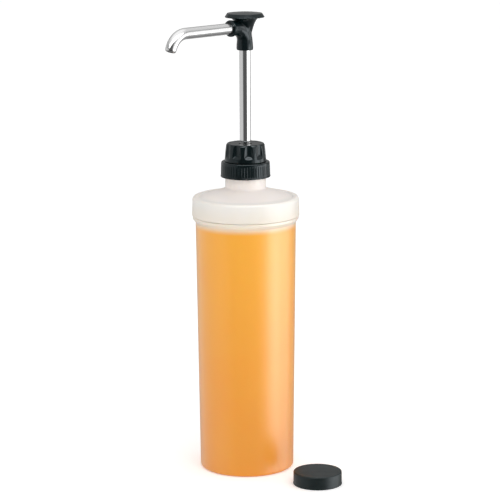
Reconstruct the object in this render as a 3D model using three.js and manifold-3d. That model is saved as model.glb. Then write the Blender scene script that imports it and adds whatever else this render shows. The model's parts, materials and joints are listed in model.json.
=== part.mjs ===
// Condiment pump dispenser: a one-quart jar, its lid, a screw-on piston pump and the storage cap
// that closes the lid's neck when the pump is out.
//
// Millimetres, +Z up. The origin is the centre of the jar's base, and the spout points to -Y.
// Every height below is measured from the base, and every profile is (radius, height).

import * as THREE from "three";
import { mergeVertices } from "three/addons/utils/BufferGeometryUtils.js";
import Module from "manifold-3d";

const wasm = await Module();
wasm.setup();

// ---------------------------------------------------------------- driving dimensions

const GAP = 0.3; // between pieces that touch
const WIDE_SIDES = 40; // facets round the jar, lid and caps
const FLUTED_SIDES = 30; // facets round the lock collar, three to a flute
const BARREL_SIDES = 28; // facets round the pump barrel and what slides in it
const SLIM_SIDES = 20; // facets round tubes, valves and the head

// Jar
const JAR_FOOT_RADIUS = 40.6;
const JAR_SHOULDER_RADIUS = 43.1;
const JAR_FOOT_ROUND = 3;
const JAR_WALL = 1.9;
const JAR_FLOOR = 2.4;
const JAR_SHOULDER_Z = 217.4;
const JAR_FLOOR_CHAMFER = 1.8;
const BEAD_RADIUS = 45.55;
const BEAD_BOTTOM_Z = 220.4;
const BEAD_TOP_Z = 222.8;
const MOUTH_RADIUS = 42.5;
const JAR_RIM_Z = 235.4;
const SNAP_RIDGE_Z = 229;
const SNAP_RIDGE_HEIGHT = 0.8;
const SNAP_RIDGE_UNDERCUT = 1; // height of the ridge's lower slope
const SNAP_RIDGE_LEAD_IN = 2; // height of its upper slope

// Lid
const LID_WALL = 1.8;
const SKIRT_BOTTOM_Z = BEAD_TOP_Z + GAP;
const SKIRT_BOTTOM_RADIUS = 46.2;
const SKIRT_TOP_RADIUS = 45.6;
const SKIRT_CHAMFER = 0.5;
const LID_ROUND = 4.3;
const LID_TOP_Z = 239.5;
const LID_STEP_RADIUS = 40.6;
const CONE_OUTER_RADIUS = 40;
const CONE_OUTER_Z = 239;
const CONE_INNER_RADIUS = 19.6;
const CONE_INNER_Z = 245.6;
const NECK_RADIUS = 17.4;
const NECK_BORE_RADIUS = 15.4;
const NECK_FLARE = 0.5;
const NECK_FLARE_Z = 246.6;
const NECK_ROOT_Z = 247.8;
const NECK_TOP_Z = 264;
const LID_CEILING_Z = 237.2;
const LID_CEILING_RADIUS = 39.4;
const GASKET_HEIGHT = 1.2;
const LID_GASKET_INNER_RADIUS = 40.8;
const LID_GASKET_OUTER_RADIUS = 43.4;

// Thread of the neck, the closure and the storage cap: 38 mm, 6 turns to the inch
const NECK_PITCH = 25.4 / 6;
const NECK_CREST_RADIUS = 18.75;
const NECK_THREAD_Z = 258.6;
const NECK_THREAD_WIDTH = 2; // at the thread's root
const CAP_BORE_RADIUS = 19.15;
const CAP_CREST_RADIUS = 18;
const THREAD_ROOT_DEPTH = 0.4; // how far a ridge reaches into the wall that it stands on

// Closure ring
const CLOSURE_BOTTOM_Z = 256.5;
const CLOSURE_TOP_Z = 269.7;
const CLOSURE_PLATE = 1.8;
const CLOSURE_RADIUS = 21.2;
const CLOSURE_HOLE_RADIUS = 14.7;
const CLOSURE_TAPER = 0.3;
const CLOSURE_LIP = 0.2;
const CLOSURE_LIP_HEIGHT = 1;
const CLOSURE_ROUND = 1.7;
const CLOSURE_THREAD_DEGREES = 150;

// Pump barrel
const BARREL_RADIUS = 14.2;
const BARREL_BORE_RADIUS = 12.3;
const FLANGE_RADIUS = 18.4;
const FLANGE_BOTTOM_Z = NECK_TOP_Z + GASKET_HEIGHT + 2 * GAP;
const FLANGE_TOP_Z = CLOSURE_TOP_Z - CLOSURE_PLATE - GAP;
const STUB_RADIUS = 13.6;
const STUB_TOP_Z = 279.2;
const SHELF_Z = 160.5;
const VALVE_BORE_RADIUS = 8;
const VALVE_BORE_Z = 149.8;
const VALVE_HOUSING_RADIUS = 9.8;
const VALVE_HOUSING_TAPER = 3; // height of the slope below the valve
const SHELF_TAPER = 4; // height of the slope below the shelf
const SOCKET_RADIUS = 6.9;
const SOCKET_BOTTOM_Z = 136;
const SOCKET_TOP_Z = 148.2;
const VENT_RADIUS = 1;
const VENT_Z = 250;

// Thread of the barrel's stub and the lock collar
const STUB_PITCH = 3;
const STUB_CREST_RADIUS = 14.3;
const STUB_THREAD_Z = 273.4;
const STUB_THREAD_WIDTH = 1.4;
const COLLAR_BORE_RADIUS = 14.6;
const COLLAR_CREST_RADIUS = 13.95;
const COLLAR_THREAD_DEGREES = 90;

// Lock collar
const COLLAR_BOTTOM_Z = 270;
const COLLAR_TOP_Z = 285.3;
const COLLAR_BOTTOM_RADIUS = 17.9;
const COLLAR_TOP_RADIUS = 16.5;
const COLLAR_PLATE_BOTTOM_Z = 281.3;
const COLLAR_PLATE_TOP_Z = 284.9;
const COLLAR_WAIST_RADIUS = 17.2;
const COLLAR_WAIST_Z = 278.3;
const COLLAR_ROUND_Z = 283.8; // where the wall starts to round over to the rim
const COLLAR_RIM_RADIUS = 14.6;
const COLLAR_DISH_RADIUS = 12.8;
const COLLAR_HOLE_GAP = 0.6;
const FLUTES = 10;
const FLUTE_RADIUS = 5.2;
const FLUTE_CENTRE_RADIUS = 20.6;
const FLUTE_BOTTOM_Z = 273;
const FIRST_FLUTE_DEGREES = -35.4;

// Plunger
const TUBE_RADIUS = 9.53 / 2;
const TUBE_BORE_RADIUS = 4;
const TUBE_BOTTOM_Z = 257.8;
const TUBE_TOP_Z = 376.4;
const PISTON_BOTTOM_Z = 247.5;
const PISTON_TOP_Z = 262;
const PISTON_RADIUS = 11.9;
const PISTON_GROOVE_RADIUS = 10;
const PISTON_GROOVE_Z = 252;
const PISTON_GROOVE_WIDTH = 2.8;
const PISTON_INLET_RADIUS = 2.2;
const PISTON_CHAMBER_RADIUS = 4.6;
const SEAL_GAP = 0.15;
const GUIDE_BORE_RADIUS = TUBE_RADIUS + GAP;

// Guide bushing and rod wiper
const BUSHING_BOTTOM_Z = PISTON_TOP_Z + GAP;
const BUSHING_SHOULDER_Z = STUB_TOP_Z + GAP;
const BUSHING_TOP_Z = COLLAR_PLATE_BOTTOM_Z - GAP;
const WIPER_POCKET_RADIUS = 7.4;
const WIPER_POCKET_Z = 278;
const WIPER_CHAMFER = 0.7;

// Valves
const INLET_BALL_RADIUS = 4;
const OUTLET_BALL_RADIUS = 3.2;
const BALL_GAP = 0.08;
const FOOT_CONE_APEX_Z = 148.9;
const FOOT_CONE_RADIUS = 6.1;
const FOOT_HOLE_RADIUS = 2.4;
const PISTON_CONE_APEX_Z = 246.6;
const RETAINER_BOTTOM_Z = 256.3;
const RETAINER_HOLE_RADIUS = 1;
const RETAINER_HOLE_CIRCLE = 2.8;

// Return spring
const SPRING_RADIUS = 10.2; // of the wire's centre line
const SPRING_WIRE_RADIUS = 0.65;
const SPRING_TURNS = 13;
const SPRING_END_GAP = 0.15; // between the two coils at each end
const SPRING_SEAT_TOP_Z = 162.6;
const SPRING_SEAT_HOLE_RADIUS = 2.3;
const SPRING_SEAT_HOLE_CIRCLE = 5.5;
const WASHER_BOTTOM_Z = 246;
const WASHER_BORE_RADIUS = 5;
const WASHER_RADIUS = 11.8;

// Head
const HEAD_BOTTOM_Z = 364.9;
const STEM = [ // radius, height above the head's bottom
  [6.3, 0],
  [7, 0.9],
  [6.8, 5],
  [6.1, 10],
  [6, 14],
  [6.8, 18],
  [8, 22],
  [9.6, 25.2],
  [11.6, 27.8],
];
const DISC_BOTTOM_Z = 392.7;
const DISC_RADIUS = 16.75;
const DISC_EDGE = 0.5;
const DISC_TOP_RADIUS = 15;
const DISC_SIDE_TOP_Z = 395.8;
const HEAD_TOP_Z = 397;
const ELBOW_RADIUS = 6.3;
const ELBOW_BEND = 12.3;
const DISC_CROWN_RADIUS = 13.6;
const DISC_CROWN_Z = 396.4;
const LIP_RADIUS = 6.8;
const LIP_WIDTH = 3;
const LIP_CHAMFER = 0.5;
const HEAD_PASSAGE_RADIUS = 3.2;
const HEAD_SEAL_Z = 370;
const SEAL_WIDTH = 2.2;
const SEAL_GROOVE_RADIUS = 6;
const SEAL_INNER_RADIUS = TUBE_RADIUS + SEAL_GAP;
const SEAL_OUTER_RADIUS = SEAL_GROOVE_RADIUS - SEAL_GAP;

// Spout
const SPOUT_Z = 384.3;
const SPOUT_SOCKET_Y = 18; // the socket's face, measured from the axis
const SPOUT_ROOT_Y = 8.6;
const SPOUT_SEAL_Y = 14.8;
const SPOUT_BEND_Y = 69.4;
const SPOUT_BEND = 17.2;
const SPOUT_BEND_DEGREES = 70;
const SPOUT_TIP_LENGTH = 2.8;
const SPOUT_ROLL_LENGTH = 2.5;
const SPOUT_ROLL_SIZE = 0.68; // the opening's size against the tube's

// Dip tube
const DIP_TUBE_RADIUS = 4.75;
const DIP_TUBE_BORE_RADIUS = 3.6;
const DIP_TUBE_BOTTOM_Z = 6;
const DIP_TUBE_SLANT_DEGREES = 36;

// Storage cap
const STORAGE_CAP_X = 83;
const STORAGE_CAP_Y = 2;
const STORAGE_CAP_RADIUS = 20.65;
const STORAGE_CAP_HEIGHT = 11.2;
const STORAGE_CAP_PLATE = 1.5;
const STORAGE_CAP_ROUND = 1.1;
const STORAGE_CAP_LIP = 0.25;
const STORAGE_CAP_LIP_HEIGHT = 0.9;
const STORAGE_CAP_LIP_SLOPE = 0.7;
const STORAGE_CAP_THREAD_Z = 1.8;
const LINER_RADIUS = 18.55;
const LINER_THICKNESS = 1;

// ---------------------------------------------------------------- materials

function plastic(colour, roughness) {
  return new THREE.MeshStandardMaterial({ color: colour, roughness, metalness: 0 });
}

function metal(colour, roughness) {
  return new THREE.MeshStandardMaterial({ color: colour, roughness, metalness: 1 });
}

const filledJar = plastic(0xeba447, 0.4);
const milkyPlastic = plastic(0xefebe4, 0.4);
const blackGloss = plastic(0x14181a, 0.2);
const blackSatin = plastic(0x22282a, 0.5);
const naturalPlastic = plastic(0xe6e4dc, 0.45);
const rubber = plastic(0x2b2b2b, 0.8);
const foam = plastic(0xf2f0ea, 0.9);
const polishedSteel = metal(0xd0d2d4, 0.12);
const springSteel = metal(0x9da0a3, 0.3);

// ---------------------------------------------------------------- shape helpers

const point = (radius, height) => new THREE.Vector2(radius, height);

// Points of an arc from one angle to another, in degrees from +r towards +z.
function arc(radius, height, size, from, to, steps) {
  const points = [];
  for (let i = 0; i <= steps; i += 1) {
    const angle = THREE.MathUtils.degToRad(from + ((to - from) * i) / steps);
    points.push(point(radius + size * Math.cos(angle), height + size * Math.sin(angle)));
  }
  return points;
}

// A solid of revolution about Z. The profile runs up the outside and back down the inside; a ring's
// profile closes on itself, and a full solid's starts and ends on the axis.
function turned(profile, sides) {
  const onAxis = profile[0].x === 0;
  const points = onAxis ? profile : [...profile, profile[0].clone()];
  return new THREE.LatheGeometry(points, sides).rotateX(Math.PI / 2);
}

function ring(innerRadius, outerRadius, bottom, top, sides) {
  const profile = [
    point(innerRadius, bottom),
    point(outerRadius, bottom),
    point(outerRadius, top),
    point(innerRadius, top),
  ];
  return turned(profile, sides);
}

function disc(radius, bottom, top, sides) {
  const profile = [point(0, bottom), point(radius, bottom), point(radius, top), point(0, top)];
  return turned(profile, sides);
}

function solidOf(geometry) {
  const bare = geometry.clone();
  bare.deleteAttribute("normal");
  bare.deleteAttribute("uv");
  const merged = mergeVertices(bare, 1e-4);
  const vertProperties = merged.attributes.position.array;
  const triVerts = new Uint32Array(merged.index.array);
  return new wasm.Manifold(new wasm.Mesh({ numProp: 3, vertProperties, triVerts }));
}

function geometryOf(solid) {
  const mesh = solid.getMesh();
  const geometry = new THREE.BufferGeometry();
  geometry.setAttribute("position", new THREE.BufferAttribute(mesh.vertProperties, 3));
  geometry.setIndex(new THREE.BufferAttribute(mesh.triVerts, 1));
  geometry.computeVertexNormals();
  return geometry;
}

function joined(...geometries) {
  return geometryOf(geometries.map(solidOf).reduce((all, next) => all.add(next)));
}

function cut(geometry, ...cutters) {
  return geometryOf(cutters.map(solidOf).reduce((rest, next) => rest.subtract(next), solidOf(geometry)));
}

function roundSection(radius, sides, boreRadius = 0) {
  const circle = (r) => new THREE.Path().absarc(0, 0, r, 0, 2 * Math.PI).getPoints(sides / 2);
  const section = new THREE.Shape(circle(radius));
  if (boreRadius) section.holes.push(new THREE.Path(circle(boreRadius)));
  return section;
}

// A section pushed through stations, each placing the section's point (x, y) in space.
function swept(section, stations) {
  const steps = stations.length - 1;
  const geometry = new THREE.ExtrudeGeometry(section, { depth: 1, steps, bevelEnabled: false });
  const position = geometry.attributes.position;
  const vertex = new THREE.Vector3();
  for (let i = 0; i < position.count; i += 1) {
    vertex.fromBufferAttribute(position, i);
    const placed = stations[Math.round(vertex.z * steps)](vertex.x, vertex.y);
    position.setXYZ(i, placed.x, placed.y, placed.z);
  }
  geometry.computeVertexNormals();
  return geometry;
}

// A section drawn in (radius, height) and wound round Z.
function wound(section, { turns, pitch, startDegrees = 0, startZ, stepsPerTurn, rise }) {
  const steps = Math.round(turns * stepsPerTurn);
  const start = THREE.MathUtils.degToRad(startDegrees);
  const stations = Array.from({ length: steps + 1 }, (_, i) => (radius, height) => {
    const turn = (turns * i) / steps;
    const angle = start + 2 * Math.PI * turn;
    const z = startZ + (rise ? rise(turn) : pitch * turn) + height;
    return new THREE.Vector3(radius * Math.cos(angle), radius * Math.sin(angle), z);
  });
  return swept(section, stations.reverse());
}

// A thread ridge standing on a wall: it starts just inside the wall, so that the two join.
function threadRidge(wallRadius, crestRadius, width, place) {
  const root = wallRadius - Math.sign(crestRadius - wallRadius) * THREAD_ROOT_DEPTH;
  const section = new THREE.Shape([
    point(root, -width / 2),
    point(crestRadius, -width / 4),
    point(crestRadius, width / 4),
    point(root, width / 2),
  ]);
  return wound(section, { turns: 1, stepsPerTurn: 20, ...place });
}

// The place of a ridge that runs half a pitch below another one that starts at angle 0.
function threadBelow(pitch, z, startDegrees) {
  return { pitch, startDegrees, startZ: z + pitch * (startDegrees / 360 - 0.5) };
}

function at(geometry, x, y, z) {
  return geometry.translate(x, y, z);
}

// ---------------------------------------------------------------- jar and lid

function jar() {
  const foot = arc(
    JAR_FOOT_RADIUS - JAR_FOOT_ROUND,
    JAR_FOOT_ROUND,
    JAR_FOOT_ROUND,
    -90,
    0,
    4,
  );
  const insideTop = MOUTH_RADIUS - JAR_WALL;
  const insideBottom = JAR_FOOT_RADIUS - JAR_WALL;
  const profile = [
    point(0, 0),
    ...foot,
    point(JAR_SHOULDER_RADIUS, JAR_SHOULDER_Z),
    point(BEAD_RADIUS, BEAD_BOTTOM_Z),
    point(BEAD_RADIUS, BEAD_TOP_Z),
    point(MOUTH_RADIUS, BEAD_TOP_Z),
    point(MOUTH_RADIUS, SNAP_RIDGE_Z - SNAP_RIDGE_UNDERCUT),
    point(MOUTH_RADIUS + SNAP_RIDGE_HEIGHT, SNAP_RIDGE_Z),
    point(MOUTH_RADIUS, SNAP_RIDGE_Z + SNAP_RIDGE_LEAD_IN),
    point(MOUTH_RADIUS, JAR_RIM_Z),
    point(insideTop, JAR_RIM_Z),
    point(insideTop, BEAD_TOP_Z),
    point(insideBottom, JAR_FLOOR + JAR_FLOOR_CHAMFER),
    point(insideBottom - JAR_FLOOR_CHAMFER, JAR_FLOOR),
    point(0, JAR_FLOOR),
  ];
  return turned(profile, WIDE_SIDES);
}

function jarLid() {
  const skirtInsideTop = SKIRT_TOP_RADIUS - LID_WALL;
  const coneSlope = (CONE_INNER_Z - CONE_OUTER_Z) / (CONE_OUTER_RADIUS - CONE_INNER_RADIUS);
  const boreBottomZ = LID_CEILING_Z + coneSlope * (LID_CEILING_RADIUS - NECK_BORE_RADIUS);
  const body = turned(
    [
      point(SKIRT_BOTTOM_RADIUS - LID_WALL, SKIRT_BOTTOM_Z),
      point(SKIRT_BOTTOM_RADIUS - SKIRT_CHAMFER, SKIRT_BOTTOM_Z),
      point(SKIRT_BOTTOM_RADIUS, SKIRT_BOTTOM_Z + SKIRT_CHAMFER),
      ...arc(SKIRT_TOP_RADIUS - LID_ROUND, LID_TOP_Z - LID_ROUND, LID_ROUND, 0, 90, 4),
      point(LID_STEP_RADIUS, LID_TOP_Z),
      point(CONE_OUTER_RADIUS, CONE_OUTER_Z),
      point(CONE_INNER_RADIUS, CONE_INNER_Z),
      point(NECK_RADIUS + NECK_FLARE, NECK_FLARE_Z),
      point(NECK_RADIUS, NECK_ROOT_Z),
      point(NECK_RADIUS, NECK_TOP_Z),
      point(NECK_BORE_RADIUS, NECK_TOP_Z),
      point(NECK_BORE_RADIUS, boreBottomZ),
      point(LID_CEILING_RADIUS, LID_CEILING_Z),
      point(skirtInsideTop, LID_CEILING_Z),
    ],
    WIDE_SIDES,
  );
  const thread = threadRidge(NECK_RADIUS, NECK_CREST_RADIUS, NECK_THREAD_WIDTH, {
    pitch: NECK_PITCH,
    startZ: NECK_THREAD_Z,
  });
  return joined(body, thread);
}

function lidGasket() {
  const bottom = JAR_RIM_Z + GAP;
  const top = bottom + GASKET_HEIGHT;
  return ring(LID_GASKET_INNER_RADIUS, LID_GASKET_OUTER_RADIUS, bottom, top, WIDE_SIDES);
}

function neckGasket() {
  const bottom = NECK_TOP_Z + GAP;
  return ring(NECK_BORE_RADIUS, NECK_RADIUS, bottom, bottom + GASKET_HEIGHT, BARREL_SIDES);
}

// ---------------------------------------------------------------- closure and storage cap

function closureRing() {
  const lipRadius = CLOSURE_RADIUS + CLOSURE_LIP;
  const roundRadius = CLOSURE_RADIUS - CLOSURE_TAPER - CLOSURE_ROUND;
  const plateBottom = CLOSURE_TOP_Z - CLOSURE_PLATE;
  const body = turned(
    [
      point(CAP_BORE_RADIUS, CLOSURE_BOTTOM_Z),
      point(lipRadius, CLOSURE_BOTTOM_Z),
      point(lipRadius, CLOSURE_BOTTOM_Z + CLOSURE_LIP_HEIGHT),
      point(CLOSURE_RADIUS, CLOSURE_BOTTOM_Z + CLOSURE_LIP_HEIGHT + CLOSURE_LIP),
      ...arc(roundRadius, CLOSURE_TOP_Z - CLOSURE_ROUND, CLOSURE_ROUND, 0, 90, 3),
      point(CLOSURE_HOLE_RADIUS, CLOSURE_TOP_Z),
      point(CLOSURE_HOLE_RADIUS, plateBottom),
      point(CAP_BORE_RADIUS, plateBottom),
    ],
    WIDE_SIDES,
  );
  const place = threadBelow(NECK_PITCH, NECK_THREAD_Z, CLOSURE_THREAD_DEGREES);
  return joined(body, threadRidge(CAP_BORE_RADIUS, CAP_CREST_RADIUS, NECK_THREAD_WIDTH, place));
}

function storageCap() {
  const lipRadius = STORAGE_CAP_RADIUS + STORAGE_CAP_LIP;
  const roundRadius = STORAGE_CAP_RADIUS - STORAGE_CAP_ROUND;
  const plateBottom = STORAGE_CAP_HEIGHT - STORAGE_CAP_PLATE;
  const body = turned(
    [
      point(CAP_BORE_RADIUS, 0),
      point(lipRadius, 0),
      point(lipRadius, STORAGE_CAP_LIP_HEIGHT),
      point(STORAGE_CAP_RADIUS, STORAGE_CAP_LIP_HEIGHT + STORAGE_CAP_LIP_SLOPE),
      ...arc(roundRadius, STORAGE_CAP_HEIGHT - STORAGE_CAP_ROUND, STORAGE_CAP_ROUND, 0, 90, 3),
      point(0, STORAGE_CAP_HEIGHT),
      point(0, plateBottom),
      point(CAP_BORE_RADIUS, plateBottom),
    ],
    WIDE_SIDES,
  );
  const thread = threadRidge(CAP_BORE_RADIUS, CAP_CREST_RADIUS, NECK_THREAD_WIDTH, {
    pitch: NECK_PITCH,
    startZ: STORAGE_CAP_THREAD_Z,
  });
  return joined(body, thread);
}

function storageCapLiner() {
  const top = STORAGE_CAP_HEIGHT - STORAGE_CAP_PLATE - GAP;
  return disc(LINER_RADIUS, top - LINER_THICKNESS, top, WIDE_SIDES);
}

// ---------------------------------------------------------------- pump barrel and foot valve

function pumpCylinder() {
  const socketBore = DIP_TUBE_RADIUS + GAP;
  const body = turned(
    [
      point(socketBore, SOCKET_BOTTOM_Z),
      point(SOCKET_RADIUS, SOCKET_BOTTOM_Z),
      point(SOCKET_RADIUS, VALVE_BORE_Z - VALVE_HOUSING_TAPER),
      point(VALVE_HOUSING_RADIUS, VALVE_BORE_Z),
      point(VALVE_HOUSING_RADIUS, SHELF_Z - SHELF_TAPER),
      point(BARREL_RADIUS, SHELF_Z),
      point(BARREL_RADIUS, FLANGE_BOTTOM_Z),
      point(FLANGE_RADIUS, FLANGE_BOTTOM_Z),
      point(FLANGE_RADIUS, FLANGE_TOP_Z),
      point(STUB_RADIUS, FLANGE_TOP_Z),
      point(STUB_RADIUS, STUB_TOP_Z),
      point(BARREL_BORE_RADIUS, STUB_TOP_Z),
      point(BARREL_BORE_RADIUS, SHELF_Z),
      point(VALVE_BORE_RADIUS, SHELF_Z),
      point(VALVE_BORE_RADIUS, VALVE_BORE_Z),
      point(DIP_TUBE_BORE_RADIUS, VALVE_BORE_Z),
      point(DIP_TUBE_BORE_RADIUS, SOCKET_TOP_Z),
      point(socketBore, SOCKET_TOP_Z),
    ],
    BARREL_SIDES,
  );
  const thread = threadRidge(STUB_RADIUS, STUB_CREST_RADIUS, STUB_THREAD_WIDTH, {
    pitch: STUB_PITCH,
    startZ: STUB_THREAD_Z,
  });
  const wall = BARREL_RADIUS - BARREL_BORE_RADIUS;
  const ventDrill = new THREE.CylinderGeometry(VENT_RADIUS, VENT_RADIUS, 3 * wall, 10);
  return cut(joined(body, thread), at(ventDrill, 0, BARREL_BORE_RADIUS + wall / 2, VENT_Z));
}

// The 45 degree seat of a ball: the ball's centre is this far above the cone's apex.
function ballHeight(ballRadius) {
  return (ballRadius + BALL_GAP) * Math.SQRT2;
}

function footValveSeat() {
  const bottom = VALVE_BORE_Z + GAP;
  const top = FOOT_CONE_APEX_Z + FOOT_CONE_RADIUS;
  return turned(
    [
      point(FOOT_HOLE_RADIUS, bottom),
      point(VALVE_BORE_RADIUS - GAP, bottom),
      point(VALVE_BORE_RADIUS - GAP, top),
      point(FOOT_CONE_RADIUS, top),
      point(FOOT_HOLE_RADIUS, FOOT_CONE_APEX_Z + FOOT_HOLE_RADIUS),
    ],
    SLIM_SIDES,
  );
}

function ball(radius, coneApexZ) {
  const sphere = new THREE.SphereGeometry(radius, 12, 8).rotateX(Math.PI / 2);
  return at(sphere, 0, 0, coneApexZ + ballHeight(radius));
}

// A disc with four flow holes round a solid centre that stops the ball.
function drilledDisc(radius, bottom, top, holeRadius, holeCircle) {
  const drills = [0, 1, 2, 3].map((i) => {
    const angle = (Math.PI / 2) * i;
    const drill = disc(holeRadius, bottom - 1, top + 1, 10);
    return at(drill, holeCircle * Math.cos(angle), holeCircle * Math.sin(angle), 0);
  });
  return cut(disc(radius, bottom, top, SLIM_SIDES), ...drills);
}

function springSeat() {
  return drilledDisc(
    BARREL_BORE_RADIUS - GAP,
    SHELF_Z + GAP,
    SPRING_SEAT_TOP_Z,
    SPRING_SEAT_HOLE_RADIUS,
    SPRING_SEAT_HOLE_CIRCLE,
  );
}

function returnSpring() {
  const bottom = SPRING_SEAT_TOP_Z + GAP + SPRING_WIRE_RADIUS;
  const top = WASHER_BOTTOM_Z - GAP - SPRING_WIRE_RADIUS;
  const closedPitch = 2 * SPRING_WIRE_RADIUS + SPRING_END_GAP;
  const openTurns = SPRING_TURNS - 2;
  const openPitch = (top - bottom - 2 * closedPitch) / openTurns;
  const rise = (turn) => {
    const lowEnd = Math.min(turn, 1) * closedPitch;
    const open = Math.min(Math.max(turn - 1, 0), openTurns) * openPitch;
    const highEnd = Math.max(turn - 1 - openTurns, 0) * closedPitch;
    return lowEnd + open + highEnd;
  };
  const circle = new THREE.Path().absarc(SPRING_RADIUS, 0, SPRING_WIRE_RADIUS, 0, 2 * Math.PI);
  const section = new THREE.Shape(circle.getPoints(3));
  return wound(section, { turns: SPRING_TURNS, startZ: bottom, stepsPerTurn: 8, rise });
}

function dipTube() {
  const top = SOCKET_TOP_Z - GAP;
  const tube = ring(DIP_TUBE_BORE_RADIUS, DIP_TUBE_RADIUS, DIP_TUBE_BOTTOM_Z, top, SLIM_SIDES);
  const size = 6 * DIP_TUBE_RADIUS;
  const block = new THREE.BoxGeometry(size, size, size).translate(0, 0, -size / 2);
  block.rotateY(-THREE.MathUtils.degToRad(DIP_TUBE_SLANT_DEGREES));
  return cut(tube, at(block, DIP_TUBE_RADIUS, 0, DIP_TUBE_BOTTOM_Z));
}

// ---------------------------------------------------------------- guide and lock collar

function guideBushing() {
  const plugRadius = BARREL_BORE_RADIUS - GAP;
  return turned(
    [
      point(GUIDE_BORE_RADIUS, BUSHING_BOTTOM_Z),
      point(plugRadius, BUSHING_BOTTOM_Z),
      point(plugRadius, BUSHING_SHOULDER_Z),
      point(STUB_RADIUS, BUSHING_SHOULDER_Z),
      point(STUB_RADIUS, BUSHING_TOP_Z),
      point(WIPER_POCKET_RADIUS, BUSHING_TOP_Z),
      point(WIPER_POCKET_RADIUS, WIPER_POCKET_Z),
      point(GUIDE_BORE_RADIUS, WIPER_POCKET_Z),
    ],
    SLIM_SIDES,
  );
}

function rodWiper() {
  const bottom = WIPER_POCKET_Z + GAP;
  const top = BUSHING_TOP_Z - GAP;
  const outerRadius = WIPER_POCKET_RADIUS - GAP;
  return turned(
    [
      point(SEAL_INNER_RADIUS, bottom + WIPER_CHAMFER),
      point(SEAL_INNER_RADIUS + WIPER_CHAMFER, bottom),
      point(outerRadius, bottom),
      point(outerRadius, top),
      point(SEAL_INNER_RADIUS + WIPER_CHAMFER, top),
      point(SEAL_INNER_RADIUS, top - WIPER_CHAMFER),
    ],
    SLIM_SIDES,
  );
}

function lockCollar() {
  const holeRadius = TUBE_RADIUS + COLLAR_HOLE_GAP;
  const body = turned(
    [
      point(COLLAR_BORE_RADIUS, COLLAR_BOTTOM_Z),
      point(COLLAR_BOTTOM_RADIUS, COLLAR_BOTTOM_Z),
      point(COLLAR_WAIST_RADIUS, COLLAR_WAIST_Z),
      point(COLLAR_TOP_RADIUS, COLLAR_ROUND_Z),
      point((COLLAR_TOP_RADIUS + COLLAR_RIM_RADIUS) / 2, COLLAR_TOP_Z),
      point(COLLAR_RIM_RADIUS, COLLAR_TOP_Z),
      point(COLLAR_DISH_RADIUS, COLLAR_PLATE_TOP_Z),
      point(holeRadius, COLLAR_PLATE_TOP_Z),
      point(holeRadius, COLLAR_PLATE_BOTTOM_Z),
      point(COLLAR_BORE_RADIUS, COLLAR_PLATE_BOTTOM_Z),
    ],
    FLUTED_SIDES,
  );
  const flutes = Array.from({ length: FLUTES }, (_, i) => {
    const angle = THREE.MathUtils.degToRad(FIRST_FLUTE_DEGREES + (360 / FLUTES) * i);
    const cutter = disc(FLUTE_RADIUS, FLUTE_BOTTOM_Z, COLLAR_TOP_Z + 1, 14).rotateZ(angle);
    return at(cutter, FLUTE_CENTRE_RADIUS * Math.cos(angle), FLUTE_CENTRE_RADIUS * Math.sin(angle), 0);
  });
  const place = threadBelow(STUB_PITCH, STUB_THREAD_Z, COLLAR_THREAD_DEGREES);
  const thread = threadRidge(COLLAR_BORE_RADIUS, COLLAR_CREST_RADIUS, STUB_THREAD_WIDTH, place);
  return joined(cut(body, ...flutes), thread);
}

// ---------------------------------------------------------------- piston and plunger

function piston() {
  return turned(
    [
      point(PISTON_INLET_RADIUS, PISTON_BOTTOM_Z),
      point(PISTON_RADIUS, PISTON_BOTTOM_Z),
      point(PISTON_RADIUS, PISTON_GROOVE_Z),
      point(PISTON_GROOVE_RADIUS, PISTON_GROOVE_Z),
      point(PISTON_GROOVE_RADIUS, PISTON_GROOVE_Z + PISTON_GROOVE_WIDTH),
      point(PISTON_RADIUS, PISTON_GROOVE_Z + PISTON_GROOVE_WIDTH),
      point(PISTON_RADIUS, PISTON_TOP_Z),
      point(GUIDE_BORE_RADIUS, PISTON_TOP_Z),
      point(GUIDE_BORE_RADIUS, RETAINER_BOTTOM_Z - GAP),
      point(PISTON_CHAMBER_RADIUS, RETAINER_BOTTOM_Z - GAP),
      point(PISTON_CHAMBER_RADIUS, PISTON_CONE_APEX_Z + PISTON_CHAMBER_RADIUS),
      point(PISTON_INLET_RADIUS, PISTON_CONE_APEX_Z + PISTON_INLET_RADIUS),
    ],
    SLIM_SIDES,
  );
}

function pistonSeal() {
  const bottom = PISTON_GROOVE_Z + GAP;
  const top = PISTON_GROOVE_Z + PISTON_GROOVE_WIDTH - GAP;
  const outerRadius = BARREL_BORE_RADIUS - SEAL_GAP;
  const innerRadius = PISTON_GROOVE_RADIUS + GAP;
  return turned(
    [
      point(innerRadius, bottom),
      point(PISTON_RADIUS - GAP, bottom),
      point(outerRadius, bottom + GAP),
      point(outerRadius, top - GAP),
      point(PISTON_RADIUS - GAP, top),
      point(innerRadius, top),
    ],
    BARREL_SIDES,
  );
}

function outletBallRetainer() {
  return drilledDisc(
    GUIDE_BORE_RADIUS - GAP,
    RETAINER_BOTTOM_Z,
    TUBE_BOTTOM_Z - GAP,
    RETAINER_HOLE_RADIUS,
    RETAINER_HOLE_CIRCLE,
  );
}

function springWasher() {
  const top = PISTON_BOTTOM_Z - GAP;
  return ring(WASHER_BORE_RADIUS, WASHER_RADIUS, WASHER_BOTTOM_Z, top, SLIM_SIDES);
}

function plungerTube() {
  return ring(TUBE_BORE_RADIUS, TUBE_RADIUS, TUBE_BOTTOM_Z, TUBE_TOP_Z, SLIM_SIDES);
}

// ---------------------------------------------------------------- head and spout

// A station of a path in the plane x = 0, y in front of the axis and z high, where the path points
// forward and this many degrees down.
function pathStation(y, z, degreesDown, size = 1) {
  const angle = THREE.MathUtils.degToRad(degreesDown);
  return (across, up) =>
    new THREE.Vector3(
      across * size,
      -(y + up * size * Math.sin(angle)),
      z + up * size * Math.cos(angle),
    );
}

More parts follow.
